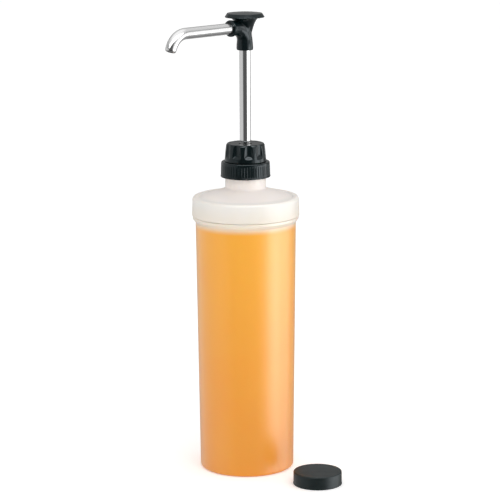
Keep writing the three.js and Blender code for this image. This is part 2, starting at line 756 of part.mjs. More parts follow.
// Stations of a bend round the centre (y, z).
function bendStations(y, z, radius, from, to, steps) {
  return Array.from({ length: steps + 1 }, (_, i) => {
    const degrees = from + ((to - from) * i) / steps;
    const angle = THREE.MathUtils.degToRad(degrees);
    return pathStation(y + radius * Math.sin(angle), z + radius * Math.cos(angle), degrees);
  });
}

function pumpHead() {
  const stem = turned(
    [
      point(0, HEAD_BOTTOM_Z),
      ...STEM.map(([radius, height]) => point(radius, HEAD_BOTTOM_Z + height)),
      point(DISC_RADIUS, DISC_BOTTOM_Z),
      point(DISC_RADIUS, DISC_BOTTOM_Z + DISC_EDGE),
      point(DISC_TOP_RADIUS, DISC_SIDE_TOP_Z),
      point(DISC_CROWN_RADIUS, DISC_CROWN_Z),
      point(0, HEAD_TOP_Z),
    ],
    SLIM_SIDES,
  );
  const elbowStart = SPOUT_Z - ELBOW_BEND;
  const elbow = swept(roundSection(ELBOW_RADIUS, 16), [
    pathStation(0, HEAD_BOTTOM_Z + 1, -90),
    ...bendStations(ELBOW_BEND, elbowStart, ELBOW_BEND, -90, 0, 6),
    pathStation(SPOUT_SOCKET_Y - LIP_CHAMFER, SPOUT_Z, 0),
  ]);
  const lipBack = SPOUT_SOCKET_Y - LIP_WIDTH;
  const lip = turned(
    [
      point(0, lipBack),
      point(LIP_RADIUS - LIP_CHAMFER, lipBack),
      point(LIP_RADIUS, lipBack + LIP_CHAMFER),
      point(LIP_RADIUS, SPOUT_SOCKET_Y - LIP_CHAMFER),
      point(LIP_RADIUS - LIP_CHAMFER, SPOUT_SOCKET_Y),
      point(0, SPOUT_SOCKET_Y),
    ],
    SLIM_SIDES,
  );
  at(lip.rotateX(Math.PI / 2), 0, 0, SPOUT_Z);
  const solid = joined(stem, elbow, lip);

  const socketTop = TUBE_TOP_Z + GAP;
  const grooveTop = HEAD_SEAL_Z + SEAL_WIDTH;
  const upright = [
    disc(GUIDE_BORE_RADIUS, HEAD_BOTTOM_Z - 1, socketTop, SLIM_SIDES),
    disc(SEAL_GROOVE_RADIUS, HEAD_SEAL_Z, grooveTop, SLIM_SIDES),
    disc(HEAD_PASSAGE_RADIUS, socketTop - GAP, SPOUT_Z, SLIM_SIDES),
  ];
  const level = [
    disc(HEAD_PASSAGE_RADIUS, 0, SPOUT_ROOT_Y, SLIM_SIDES),
    disc(GUIDE_BORE_RADIUS, SPOUT_ROOT_Y - GAP, SPOUT_SOCKET_Y + 1, SLIM_SIDES),
    disc(SEAL_GROOVE_RADIUS, SPOUT_SEAL_Y, SPOUT_SEAL_Y + SEAL_WIDTH, SLIM_SIDES),
  ].map((cutter) => at(cutter.rotateX(Math.PI / 2), 0, 0, SPOUT_Z));
  return cut(solid, ...upright, ...level);
}

function headTubeSeal() {
  const bottom = HEAD_SEAL_Z + SEAL_GAP;
  const top = HEAD_SEAL_Z + SEAL_WIDTH - SEAL_GAP;
  return ring(SEAL_INNER_RADIUS, SEAL_OUTER_RADIUS, bottom, top, SLIM_SIDES);
}

function spoutSeal() {
  const back = SPOUT_SEAL_Y + SEAL_GAP;
  const front = SPOUT_SEAL_Y + SEAL_WIDTH - SEAL_GAP;
  const seal = ring(SEAL_INNER_RADIUS, SEAL_OUTER_RADIUS, back, front, SLIM_SIDES);
  return at(seal.rotateX(Math.PI / 2), 0, 0, SPOUT_Z);
}

function spoutTube() {
  const bendZ = SPOUT_Z - SPOUT_BEND;
  const angle = THREE.MathUtils.degToRad(SPOUT_BEND_DEGREES);
  const tipStation = (length, size = 1) =>
    pathStation(
      SPOUT_BEND_Y + SPOUT_BEND * Math.sin(angle) + length * Math.cos(angle),
      bendZ + SPOUT_BEND * Math.cos(angle) - length * Math.sin(angle),
      SPOUT_BEND_DEGREES,
      size,
    );
  const roll = [0.5, 0.85, 1].map((share) => {
    const size = 1 - (1 - SPOUT_ROLL_SIZE) * (1 - Math.sqrt(1 - share * share));
    return tipStation(SPOUT_TIP_LENGTH - SPOUT_ROLL_LENGTH * (1 - share), size);
  });
  return swept(roundSection(TUBE_RADIUS, 16, TUBE_BORE_RADIUS), [
    pathStation(SPOUT_ROOT_Y, SPOUT_Z, 0),
    ...bendStations(SPOUT_BEND_Y, bendZ, SPOUT_BEND, 0, SPOUT_BEND_DEGREES, 7),
    tipStation(SPOUT_TIP_LENGTH - SPOUT_ROLL_LENGTH),
    ...roll,
  ]);
}

// ---------------------------------------------------------------- assembly

const dispenser = new THREE.Group();

function assembly(pieces, parent = dispenser) {
  const group = new THREE.Group();
  for (const [name, geometry, material] of pieces) {
    const mesh = new THREE.Mesh(geometry, material);
    mesh.name = name;
    group.add(mesh);
  }
  parent.add(group);
  return group;
}

assembly([["jar", jar(), filledJar]]);

const lid = assembly([
  ["jar_lid", jarLid(), milkyPlastic],
  ["lid_gasket", lidGasket(), foam],
  ["neck_gasket", neckGasket(), foam],
]);

const pump = assembly(
  [
    ["pump_cylinder", pumpCylinder(), naturalPlastic],
    ["foot_valve_seat", footValveSeat(), naturalPlastic],
    ["inlet_ball", ball(INLET_BALL_RADIUS, FOOT_CONE_APEX_Z), polishedSteel],
    ["spring_seat", springSeat(), naturalPlastic],
    ["return_spring", returnSpring(), springSteel],
    ["dip_tube", dipTube(), naturalPlastic],
    ["closure_ring", closureRing(), blackGloss],
  ],
  lid,
);

assembly(
  [
    ["guide_bushing", guideBushing(), naturalPlastic],
    ["rod_wiper", rodWiper(), rubber],
    ["lock_collar", lockCollar(), blackGloss],
  ],
  pump,
);

assembly(
  [
    ["spring_washer", springWasher(), polishedSteel],
    ["piston", piston(), naturalPlastic],
    ["piston_seal", pistonSeal(), rubber],
    ["outlet_ball", ball(OUTLET_BALL_RADIUS, PISTON_CONE_APEX_Z), polishedSteel],
    ["outlet_ball_retainer", outletBallRetainer(), naturalPlastic],
    ["plunger_tube", plungerTube(), polishedSteel],
    ["pump_head", pumpHead(), blackGloss],
    ["head_tube_seal", headTubeSeal(), rubber],
    ["spout_tube", spoutTube(), polishedSteel],
    ["spout_seal", spoutSeal(), rubber],
  ],
  pump,
);

const spareCap = assembly([
  ["storage_cap", storageCap(), blackSatin],
  ["storage_cap_liner", storageCapLiner(), foam],
]);
spareCap.position.set(STORAGE_CAP_X, STORAGE_CAP_Y, 0);

export default dispenser;
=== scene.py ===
"""The looks of the condiment pump dispenser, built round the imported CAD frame.

Lengths in the profiles are in millimetres, and Blender's are in metres. Profiles are (radius, height)
or (radius, height, fillet radius), heights measured from the jar's base.
"""
import itertools
import json
import math

import bmesh
import bpy
import numpy as np
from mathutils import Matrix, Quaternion, Vector

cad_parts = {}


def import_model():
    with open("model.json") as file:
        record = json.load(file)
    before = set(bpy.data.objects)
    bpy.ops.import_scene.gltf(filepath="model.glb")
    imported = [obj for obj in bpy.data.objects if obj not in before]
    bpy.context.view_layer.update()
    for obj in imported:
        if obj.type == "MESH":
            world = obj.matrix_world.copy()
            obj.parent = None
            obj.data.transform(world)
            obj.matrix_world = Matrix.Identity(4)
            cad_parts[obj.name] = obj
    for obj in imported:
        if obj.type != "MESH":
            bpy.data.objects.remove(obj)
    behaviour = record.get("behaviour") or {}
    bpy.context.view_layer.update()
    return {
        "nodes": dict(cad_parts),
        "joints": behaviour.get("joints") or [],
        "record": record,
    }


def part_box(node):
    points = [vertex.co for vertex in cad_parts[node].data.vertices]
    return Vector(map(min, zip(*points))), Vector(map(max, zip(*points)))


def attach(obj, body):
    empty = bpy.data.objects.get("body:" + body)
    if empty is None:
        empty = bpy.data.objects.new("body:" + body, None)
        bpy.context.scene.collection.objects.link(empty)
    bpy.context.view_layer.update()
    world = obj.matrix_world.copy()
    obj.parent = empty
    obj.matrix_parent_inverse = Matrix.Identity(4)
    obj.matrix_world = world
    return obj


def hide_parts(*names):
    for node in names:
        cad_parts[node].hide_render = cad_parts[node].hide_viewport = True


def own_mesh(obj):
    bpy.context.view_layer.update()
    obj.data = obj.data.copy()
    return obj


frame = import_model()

MM = 0.001
WIDE = 192  # facets round the jar, lid and caps
SLIM = 96  # facets round tubes and the barrel
FIELD_CELL = 0.34  # grid step of the pieces made from a distance field


def low(node):
    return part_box(node)[0] / MM


def high(node):
    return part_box(node)[1] / MM


def radius_of(node):
    """Half of a round node's width."""
    return (high(node).x - low(node).x) / 2


# ------------------------------------------------------------------ outlines


def filleted(profile, closed, steps=5):
    """The profile's points with each corner that names a fillet radius turned into an arc."""
    count = len(profile)
    out = []
    for i, corner in enumerate(profile):
        size = corner[2] if len(corner) > 2 else 0.0
        here = np.array(corner[:2], float)
        ends = not closed and i in (0, count - 1)
        if not size or ends:
            out.append(here)
            continue
        back = np.array(profile[i - 1][:2], float) - here
        ahead = np.array(profile[(i + 1) % count][:2], float) - here
        back_length, ahead_length = np.linalg.norm(back), np.linalg.norm(ahead)
        back, ahead = back / back_length, ahead / ahead_length
        half = math.acos(np.clip(back @ ahead, -1, 1)) / 2
        if half > math.pi / 2 - 0.01:
            out.append(here)
            continue
        reach = min(size / math.tan(half), 0.49 * back_length, 0.49 * ahead_length)
        size = reach * math.tan(half)
        middle = (back + ahead) / np.linalg.norm(back + ahead)
        centre = here + middle * size / math.sin(half)
        start = here + back * reach - centre
        end = here + ahead * reach - centre
        sweep = math.pi - 2 * half
        turn = 1 if start[0] * end[1] - start[1] * end[0] > 0 else -1
        for k in range(steps + 1):
            angle = turn * sweep * k / steps
            cos, sin = math.cos(angle), math.sin(angle)
            out.append(centre + [start[0] * cos - start[1] * sin, start[0] * sin + start[1] * cos])
    return out


# ------------------------------------------------------------------ meshes


def made(name, vertices, faces, sharp_degrees=35):
    """A smooth-shaded mesh object from millimetre vertices, its faces turned outwards."""
    mesh = bpy.data.meshes.new(name)
    mesh.from_pydata([tuple(float(c) * MM for c in v) for v in vertices], [], faces)
    edit = bmesh.new()
    edit.from_mesh(mesh)
    bmesh.ops.remove_doubles(edit, verts=edit.verts, dist=1e-7)
    bmesh.ops.dissolve_degenerate(edit, edges=edit.edges, dist=1e-7)
    bmesh.ops.recalc_face_normals(edit, faces=edit.faces)
    edit.to_mesh(mesh)
    edit.free()
    mesh.shade_smooth()
    mesh.set_sharp_from_angle(angle=math.radians(sharp_degrees))
    piece = bpy.data.objects.new(name, mesh)
    bpy.context.scene.collection.objects.link(piece)
    return piece


def turned_mesh(profile, sides, outward=None):
    """Vertices and faces of a solid of revolution, where outward(angle, r, z) pushes a point out."""
    on_axis = profile[0][0] == 0
    points = filleted(profile, closed=not on_axis)
    rows = []
    vertices = []
    for r, z in points:
        start = len(vertices)
        if r < 1e-9:
            vertices.append((0, 0, z))
            rows.append([start] * sides)
            continue
        for k in range(sides):
            angle = 2 * math.pi * k / sides
            size = r + (outward(angle, r, z) if outward else 0)
            vertices.append((size * math.cos(angle), size * math.sin(angle), z))
        rows.append(list(range(start, start + sides)))
    if not on_axis:
        rows.append(rows[0])
    faces = []
    for lower, upper in zip(rows, rows[1:]):
        for k in range(sides):
            n = (k + 1) % sides
            loop = [lower[k], lower[n], upper[n], upper[k]]
            face = [v for i, v in enumerate(loop) if v not in loop[:i]]
            if len(face) > 2:
                faces.append(face)
    return vertices, faces


def swept_mesh(section, stations):
    """Vertices and faces of a closed section (x, y) carried through stations(x, y) -> (x, y, z)."""
    count = len(section)
    vertices = [station(x, y) for station in stations for x, y in section]
    faces = []
    for s in range(len(stations) - 1):
        for k in range(count):
            n = (k + 1) % count
            faces.append([s * count + k, s * count + n, (s + 1) * count + n, (s + 1) * count + k])
    faces.append(list(range(count))[::-1])
    faces.append([(len(stations) - 1) * count + k for k in range(count)])
    return vertices, faces


def merged(*meshes):
    vertices, faces = [], []
    for more_vertices, more_faces in meshes:
        start = len(vertices)
        vertices += list(more_vertices)
        faces += [[start + v for v in face] for face in more_faces]
    return vertices, faces


def circle(size, sides):
    return [
        (size * math.cos(2 * math.pi * k / sides), size * math.sin(2 * math.pi * k / sides))
        for k in range(sides)
    ]


def thread_mesh(wall, crest, width, pitch, start_z, start_degrees=0, turns=1, steps=72):
    """A helical ridge on a round wall that fades in and out at its ends."""
    inwards = crest < wall
    root = wall + 0.4 if inwards else wall - 0.4
    section = [(root, -width / 2), (crest, -width / 4), (crest, width / 4), (root, width / 2)]
    total = round(turns * steps)

    def station(i):
        angle = math.radians(start_degrees) + 2 * math.pi * turns * i / total
        fade = min(1, i / 6, (total - i) / 6)
        z = start_z + pitch * turns * i / total

        def place(r, h):
            size = root + (r - root) * max(fade, 0.05)
            return (size * math.cos(angle), size * math.sin(angle), z + h)

        return place

    return swept_mesh(section, [station(i) for i in range(total + 1)])


def smooth_min(a, b, size):
    """The lower of two distances, with the crease between them filled to about this radius."""
    blend = np.clip(0.5 + 0.5 * (b - a) / size, 0, 1)
    return b + (a - b) * blend - size * blend * (1 - blend)


def smooth_max(a, b, size):
    return -smooth_min(-a, -b, size)


def polygon_distance(points, outline):
    """Signed distance from (n, 2) points to a closed outline, negative inside."""
    corners = np.array(outline, float)
    best = np.full(len(points), 1e9)
    inside = np.zeros(len(points), bool)
    for a, b in zip(corners, np.roll(corners, -1, axis=0)):
        edge, away = b - a, points - a
        along = np.clip(away @ edge / (edge @ edge), 0, 1)
        best = np.minimum(best, np.linalg.norm(away - along[:, None] * edge, axis=1))
        crosses = (a[1] > points[:, 1]) != (b[1] > points[:, 1])
        with np.errstate(divide="ignore", invalid="ignore"):
            at = a[0] + (points[:, 1] - a[1]) / (b[1] - a[1]) * (b[0] - a[0])
        inside ^= crosses & (points[:, 0] < at)
    return np.where(inside, -best, best)


def surface_mesh(field, lowest, highest, cell):
    """Vertices and quads of field(points) = 0, by surface nets, then drawn onto the surface."""
    lowest = np.array(lowest, float)
    counts = np.ceil((np.array(highest, float) - lowest) / cell).astype(int) + 1
    axes = [lowest[k] + cell * np.arange(counts[k]) for k in range(3)]
    values = np.empty(counts)
    for i, x in enumerate(axes[0]):
        y, z = np.meshgrid(axes[1], axes[2], indexing="ij")
        layer = np.stack([np.full(y.size, x), y.ravel(), z.ravel()], axis=1)
        values[i] = field(layer).reshape(y.shape)
    inside = values < 0
    nx, ny, nz = (counts - 1).tolist()
    total = sum(
        inside[i : i + nx, j : j + ny, k : k + nz].astype(int)
        for i, j, k in itertools.product((0, 1), repeat=3)
    )
    active = (total > 0) & (total < 8)
    index = np.full(active.shape, -1)
    index[active] = np.arange(active.sum())
    points = lowest + (np.argwhere(active) + 0.5) * cell
    quads = []
    for axis in range(3):
        u, v = (axis + 1) % 3, (axis + 2) % 3
        first = np.take(inside, range(counts[axis] - 1), axis=axis)
        second = np.take(inside, range(1, counts[axis]), axis=axis)
        found = np.argwhere(first != second)
        edge_in = (found[:, u] > 0) & (found[:, v] > 0)
        edge_in &= (found[:, u] < counts[u] - 1) & (found[:, v] < counts[v] - 1)
        found = found[edge_in]
        corners = []
        for du, dv in ((1, 1), (0, 1), (0, 0), (1, 0)):
            cell_at = found.copy()
            cell_at[:, u] -= du
            cell_at[:, v] -= dv
            corners.append(index[tuple(cell_at.T)])
        quads.append(np.stack(corners, axis=1))
    quads = np.concatenate(quads)

    def drawn(p):
        step = cell * 0.1
        value = field(p)
        slope = np.empty_like(p)
        for k in range(3):
            shift = np.zeros(3)
            shift[k] = step
            slope[:, k] = (field(p + shift) - field(p - shift)) / (2 * step)
        length = np.maximum((slope**2).sum(axis=1), 1e-6)
        move = -(value / length)[:, None] * slope
        size = np.linalg.norm(move, axis=1, keepdims=True)
        return p + move * np.minimum(1, cell / np.maximum(size, 1e-9))

    edges = np.concatenate([quads[:, [k, (k + 1) % 4]] for k in range(4)])
    for _ in range(4):
        points = drawn(points)
        near = np.zeros_like(points)
        number = np.zeros(len(points))
        np.add.at(near, edges[:, 0], points[edges[:, 1]])
        np.add.at(number, edges[:, 0], 1)
        points = 0.5 * points + 0.5 * near / np.maximum(number, 1)[:, None]
    for _ in range(4):
        points = drawn(points)
    return points.tolist(), quads.tolist()


def field_piece(name, node, field, sharp_degrees):
    """A mesh object of field(points) = 0, searched for in the node's box and 1 mm round it."""
    margin = Vector((1, 1, 1))
    mesh = surface_mesh(field, low(node) - margin, high(node) + margin, FIELD_CELL)
    return made(name, *mesh, sharp_degrees=sharp_degrees)


# ------------------------------------------------------------------ materials


class Paint:
    """A procedural Principled material and the few nodes that vary it."""

    def __init__(self, name, colour, roughness, metallic=0.0, ior=1.5):
        self.material = bpy.data.materials.new(name)
        self.material.use_nodes = True
        self.tree = self.material.node_tree
        self.shader = self.tree.nodes["Principled BSDF"]
        self.set(**{"Base Color": (*colour, 1), "Roughness": roughness})
        self.set(**{"Metallic": metallic, "IOR": ior})
        self.place = self.node("ShaderNodeTexCoord").outputs["Object"]

    def set(self, **values):
        for socket, value in values.items():
            self.shader.inputs[socket].default_value = value

    def node(self, kind, **inputs):
        node = self.tree.nodes.new(kind)
        for key, value in inputs.items():
            socket = node.inputs[key.replace("_", " ")]
            if isinstance(value, bpy.types.NodeSocket):
                self.tree.links.new(value, socket)
            else:
                socket.default_value = value
        return node

    def link(self, output, socket):
        self.tree.links.new(output, self.shader.inputs[socket])

    def stretched(self, x, y, z):
        """The object's coordinates, scaled."""
        return self.node("ShaderNodeMapping", Vector=self.place, Scale=(x, y, z)).outputs[0]

    def noise(self, scale, detail=3.0, vector=None, roughness=0.5):
        return self.node(
            "ShaderNodeTexNoise",
            Vector=vector or self.place,
            Scale=scale,
            Detail=detail,
            Roughness=roughness,
        ).outputs["Fac"]

    def between(self, value, start, end, low_out, high_out, smooth=False):
        node = self.tree.nodes.new("ShaderNodeMapRange")
        node.interpolation_type = "SMOOTHSTEP" if smooth else "LINEAR"
        self.tree.links.new(value, node.inputs["Value"])
        for key, number in (
            ("From Min", start),
            ("From Max", end),
            ("To Min", low_out),
            ("To Max", high_out),
        ):
            node.inputs[key].default_value = number
        return node.outputs["Result"]

    def mix(self, share, first, second):
        """A colour between two colours, each a colour or another node's output."""
        node = self.tree.nodes.new("ShaderNodeMix")
        node.data_type = "RGBA"
        factor, a, b = node.inputs[0], node.inputs[6], node.inputs[7]
        for socket, value in ((factor, share), (a, first), (b, second)):
            if isinstance(value, bpy.types.NodeSocket):
                self.tree.links.new(value, socket)
            elif socket is factor:
                socket.default_value = value
            else:
                socket.default_value = (*value, 1)
        return node.outputs[2]

    def vary_roughness(self, noise, lowest, highest):
        self.link(self.between(noise, 0.3, 0.7, lowest, highest), "Roughness")

    def bump(self, height, distance, strength=1.0):
        node = self.node("ShaderNodeBump", Height=height, Distance=distance, Strength=strength)
        self.link(node.outputs["Normal"], "Normal")

    def height_z(self):
        split = self.node("ShaderNodeSeparateXYZ", Vector=self.place)
        return split.outputs["Z"]


SAUCE_LEVEL = 216.0
SAUCE_FADE = 4  # the sauce's colour fades into the plastic's this far each way from its level
ORANGE_TOP = (0.93, 0.36, 0.001)
ORANGE_BOTTOM = (0.86, 0.275, 0.008)
ORANGE_PALE = (0.90, 0.50, 0.05)
ORANGE_HEIGHTS = (0.01, 0.20)  # metres: where the bottom's orange ends and the top's begins
MILKY = (0.80, 0.76, 0.70)
PAINTED_SAUCE_GLOW = (0.80, 0.69, 0.57)  # painted glow: the sauce's light through the milky plastic, on the lid's skirt and on the jar above the fill level
# Painted light: the lid's cone and neck, painted lighter and warmer than the skirt.
PAINTED_LIGHT_CONE = (0.97, 0.86, 0.79)
SKIRT_HEIGHTS = (0.221, 0.237)  # metres: the painted glow ends over this stretch
CONE_HEIGHTS = (0.2385, 0.2405)  # metres: the skirt's colour turns into the cone's painted lighter colour
NATURAL = (0.80, 0.79, 0.74)
POLYETHYLENE_IOR = 1.52


def jar_paint():
    """Milky polyethylene showing the sauce behind it up to the fill level, with a painted glow above
    it.
    """
    paint = Paint("jar_polyethylene", ORANGE_TOP, 0.36, ior=POLYETHYLENE_IOR)
    z = paint.height_z()
    drift = paint.noise(14, 2)
    orange = paint.mix(paint.between(z, *ORANGE_HEIGHTS, 0, 1), ORANGE_BOTTOM, ORANGE_TOP)
    orange = paint.mix(paint.between(drift, 0.35, 0.65, 0, 0.12), orange, ORANGE_PALE)
    # Painted glow: above the fill level the wall takes the sauce's light as a warm tint.
    fade = (SAUCE_LEVEL - SAUCE_FADE) * MM, (SAUCE_LEVEL + SAUCE_FADE) * MM
    edge = paint.between(z, *fade, 0, 1, smooth=True)
    paint.link(paint.mix(edge, orange, PAINTED_SAUCE_GLOW), "Base Color")
    streaks = paint.noise(60, 3, paint.stretched(1, 1, 0.08))
    paint.vary_roughness(streaks, 0.33, 0.41)
    grain = paint.noise(900, 2)
    paint.bump(grain, 0.00003, 0.35)
    paint.set(**{"Subsurface Weight": 0.25, "Subsurface Scale": 0.01})
    paint.set(**{"Subsurface Radius": (1.0, 0.45, 0.2)})
    paint.set(**{"Specular IOR Level": 0.35, "Sheen Weight": 0.06, "Sheen Roughness": 0.5})
    paint.set(**{"Coat Weight": 1.0, "Coat Roughness": 0.38, "Coat IOR": 1.6})
    return paint.material


def lid_paint():
    """Milky polyethylene with a painted glow at the skirt's foot, painted lighter on the cone and the
    neck.
    """
    paint = Paint("lid_polyethylene", MILKY, 0.36, ior=POLYETHYLENE_IOR)
    z = paint.height_z()
    # Painted glow at the skirt's foot: the sauce's light through the plastic, as a warm tint.
    skirt = paint.mix(paint.between(z, *SKIRT_HEIGHTS, 0, 1), PAINTED_SAUCE_GLOW, MILKY)
    # Painted light on the cone and the neck; random patches elsewhere take the same lighter colour.
    cone = paint.mix(paint.between(z, *CONE_HEIGHTS, 0, 1), skirt, PAINTED_LIGHT_CONE)
    drift = paint.between(paint.noise(20, 2), 0.3, 0.7, 0, 0.25)
    paint.link(paint.mix(drift, cone, PAINTED_LIGHT_CONE), "Base Color")
    paint.vary_roughness(paint.noise(80, 3), 0.32, 0.42)
    paint.bump(paint.noise(900, 2), 0.00003, 0.35)
    paint.set(**{"Subsurface Weight": 0.35, "Subsurface Scale": 0.008})
    paint.set(**{"Subsurface Radius": (1.0, 0.8, 0.6)})
    return paint.material


def natural_paint():
    """The pump's unpigmented plastic, filmed with sauce below the fill level."""
    paint = Paint("natural_plastic", NATURAL, 0.4, ior=POLYETHYLENE_IOR)
    film = paint.noise(45, 4, paint.stretched(1, 1, 0.25))
    wet = paint.between(paint.height_z(), (SAUCE_LEVEL - 1) * MM, (SAUCE_LEVEL + 1) * MM, 1, 0)
    share = paint.node("ShaderNodeMath", Value=wet)
    share.operation = "MULTIPLY"
    paint.tree.links.new(paint.between(film, 0.35, 0.6, 0.25, 0.9), share.inputs[1])
    paint.link(paint.mix(share.outputs[0], NATURAL, (0.85, 0.42, 0.06)), "Base Color")
    paint.vary_roughness(film, 0.22, 0.42)
    paint.bump(film, 0.0002, 0.4)
    paint.set(**{"Subsurface Weight": 0.2, "Subsurface Scale": 0.004})
    return paint.material


def sauce_paint():
    """The wet contents, seen once the lid is off."""
    deep, pale = (0.84, 0.36, 0.03), (0.90, 0.46, 0.06)
    paint = Paint("sauce", deep, 0.2, ior=1.4)
    drift = paint.noise(60, 4)
    paint.link(paint.mix(paint.between(drift, 0.35, 0.65, 0, 1), deep, pale), "Base Color")
    paint.vary_roughness(drift, 0.12, 0.3)
    paint.bump(paint.noise(120, 3), 0.0003, 0.5)
    return paint.material


def black_paint(name, colour, rough_low, rough_high, grain_scale, grain_depth):
    """Moulded black plastic with a slight drift in colour and gloss and a fine grain."""
    paint = Paint(name, colour, rough_low, ior=1.54)
    drift = paint.noise(90, 4)
    lifted = tuple(c * 1.6 for c in colour)
    paint.link(paint.mix(paint.between(drift, 0.35, 0.65, 0, 1), colour, lifted), "Base Color")
    paint.vary_roughness(paint.noise(120, 2), rough_low, rough_high)
    paint.bump(paint.noise(grain_scale, 2), grain_depth, 0.3)
    paint.set(**{"Specular IOR Level": 0.31, "Specular Tint": (0.86, 0.95, 1, 1)})
    return paint.material


def steel_paint(name, colour, rough_low, rough_high, stretch):
    """Polished or drawn steel: fine lines along the stretch."""
    paint = Paint(name, colour, rough_low, metallic=1.0)
    lines = paint.noise(1400, 3, paint.stretched(*stretch))
    paint.vary_roughness(lines, rough_low, rough_high)
    shade = tuple(c * 0.96 for c in colour)
    paint.link(paint.mix(paint.between(lines, 0.35, 0.65, 0, 1), shade, colour), "Base Color")
    return paint.material


def rubber_paint(name, colour, roughness):
    """Matte rubber or foamed liner with a fine mottle."""
    paint = Paint(name, colour, roughness, ior=1.5)
    grain = paint.noise(500, 4)
    lifted = tuple(min(1, c * 1.25) for c in colour)
    paint.link(paint.mix(grain, colour, lifted), "Base Color")
    paint.vary_roughness(grain, roughness * 0.9, min(1, roughness * 1.1))
    paint.bump(grain, 0.00005, 0.5)
    return paint.material


ALONG_Z = (1, 1, 0.02)
ALONG_Y = (1, 0.02, 1)
PAINTS = {
    "jar_plastic": jar_paint(),
    "lid_plastic": lid_paint(),
    "natural_plastic": natural_paint(),
    "black_gloss": black_paint("black_gloss", (0.0015, 0.004, 0.0045), 0.13, 0.17, 500, 0.000003),
    "black_satin": black_paint("black_satin", (0.006, 0.0095, 0.0095), 0.38, 0.44, 1200, 0.00001),
    "polished_steel": steel_paint("polished_steel", (0.70, 0.70, 0.70), 0.10, 0.11, ALONG_Z),
    "spring_steel": steel_paint("spring_steel", (0.55, 0.56, 0.57), 0.25, 0.4, (1, 1, 1)),
    "rubber": rubber_paint("rubber", (0.03, 0.03, 0.03), 0.7),
    "foam": rubber_paint("foam", (0.70, 0.69, 0.65), 0.85),
}
SPOUT_STEEL = steel_paint("spout_steel", (0.70, 0.70, 0.70), 0.17, 0.18, ALONG_Y)


def finished(piece, node, body, slot, material=None):
    """Gives a piece its material and its body, and hides the CAD node that it stands for."""
    piece.data.materials.append(material or PAINTS[slot])
    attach(piece, body)
    if node:
        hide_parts(node)


# ------------------------------------------------------------------ jar, sauce and lid

FOOT_ROUND = 3.0
JAR_WALL = 1.9
JAR_FLOOR = 2.4
MOUTH_RADIUS = 42.5
GAP = 0.3  # left between the pieces that touch
NECK_PITCH = 25.4 / 6  # six turns to the inch
NECK_THREAD_WIDTH = 2
NECK_THREAD_Z = 258.6  # where the lid's thread starts
CAP_BORE = 19.15  # radius inside the closure and the storage cap
CAP_THREAD_CREST = 18.0


def jar():
    """The tapered jar with its bead, its snap ridge and its mouth."""
    foot, shoulder, bead = 40.6, 43.1, radius_of("jar")
    bead_top = low("jar_lid").z - GAP
    inside_top, inside_bottom = MOUTH_RADIUS - JAR_WALL, foot - JAR_WALL
    rim = high("jar").z
    profile = [
        (0, 0),
        (foot, 0, FOOT_ROUND),
        (shoulder, 217.4, 1.2),
        (bead, 220.4, 1.2),
        (bead, bead_top, 0.25),
        (MOUTH_RADIUS, bead_top, 0.2),
        (MOUTH_RADIUS, 228, 0.3),
        (MOUTH_RADIUS + 0.8, 229, 0.3),
        (MOUTH_RADIUS, 231, 0.5),
        (MOUTH_RADIUS, rim, 0.6),
        (inside_top, rim, 0.6),
        (inside_top, bead_top, 5),
        (inside_bottom, JAR_FLOOR, 3),
        (0, JAR_FLOOR),
    ]
    piece = made("jar_shell", *turned_mesh(profile, WIDE))
    finished(piece, "jar", "jar", "jar_plastic")


def sauce():
    """The contents: they fill the jar to a slightly drawn-up edge."""
    bottom, wall, top_wall = 2.7, 38.4, 40.25
    profile = [
        (0, bottom),
        (wall, bottom, 2.5),
        (top_wall, SAUCE_LEVEL + 0.8),
        (top_wall - 0.6, SAUCE_LEVEL + 0.2),
        (top_wall - 2.5, SAUCE_LEVEL - 0.4, 1.5),
        (0, SAUCE_LEVEL - 0.5),
    ]
    piece = made("sauce", *turned_mesh(profile, WIDE))
    finished(piece, None, "jar", "jar_plastic", sauce_paint())


def jar_lid():
    """The lid: a skirt over the jar's mouth, a shallow cone and a threaded neck."""
    bottom, wall = low("jar_lid").z, 1.8
    skirt_bottom, skirt_top = radius_of("jar_lid"), 45.6
    neck, bore, neck_top = 17.4, 15.4, high("jar_lid").z
    top, cone_outer, ceiling = 239.5, (40.0, 239.0), 237.2
    profile = [
        (skirt_bottom - wall, bottom, 0.3),
        (skirt_bottom, bottom, 0.5),
        (skirt_top, top, 4.3),
        (cone_outer[0] + 0.6, top, 0.6),
        (*cone_outer, 0.5),
        (19.0, 245.8, 1.6),
        (neck, 246.8, 1.6),
        (neck, neck_top, 0.4),
        (bore, neck_top, 0.4),
        (bore, 245.0, 1.0),
        (39.4, ceiling, 0.5),
        (skirt_top - wall, ceiling, 0.6),
    ]
    thread = thread_mesh(neck, 18.75, NECK_THREAD_WIDTH, NECK_PITCH, NECK_THREAD_Z)
    piece = made("jar_lid_shell", *merged(turned_mesh(profile, WIDE), thread))
    finished(piece, "jar_lid", "lid", "lid_plastic")


# ------------------------------------------------------------------ closure, collar and cap

RIBS = 54
RIB_DEPTH = 0.3
RIB_STEPS = 12  # facets to a rib
GROOVE_SHARE = 0.17  # half a groove's width, as a share of a rib's step
OUTER_WALL = 20  # radius: only points past it are grooved


def ribbed(bottom, top):
    """Cuts narrow upright grooves into the wall between two heights, and leaves flat ribs."""

    def outward(angle, r, z):
        if r < OUTER_WALL or not bottom < z < top:
            return 0
        fade = min(1, (z - bottom) / 0.5, (top - z) / 0.8)
        from_groove = abs((RIBS * angle / (2 * math.pi) + 0.5) % 1 - 0.5)
        return -RIB_DEPTH * fade * max(0, 1 - from_groove / GROOVE_SHARE)

    return outward


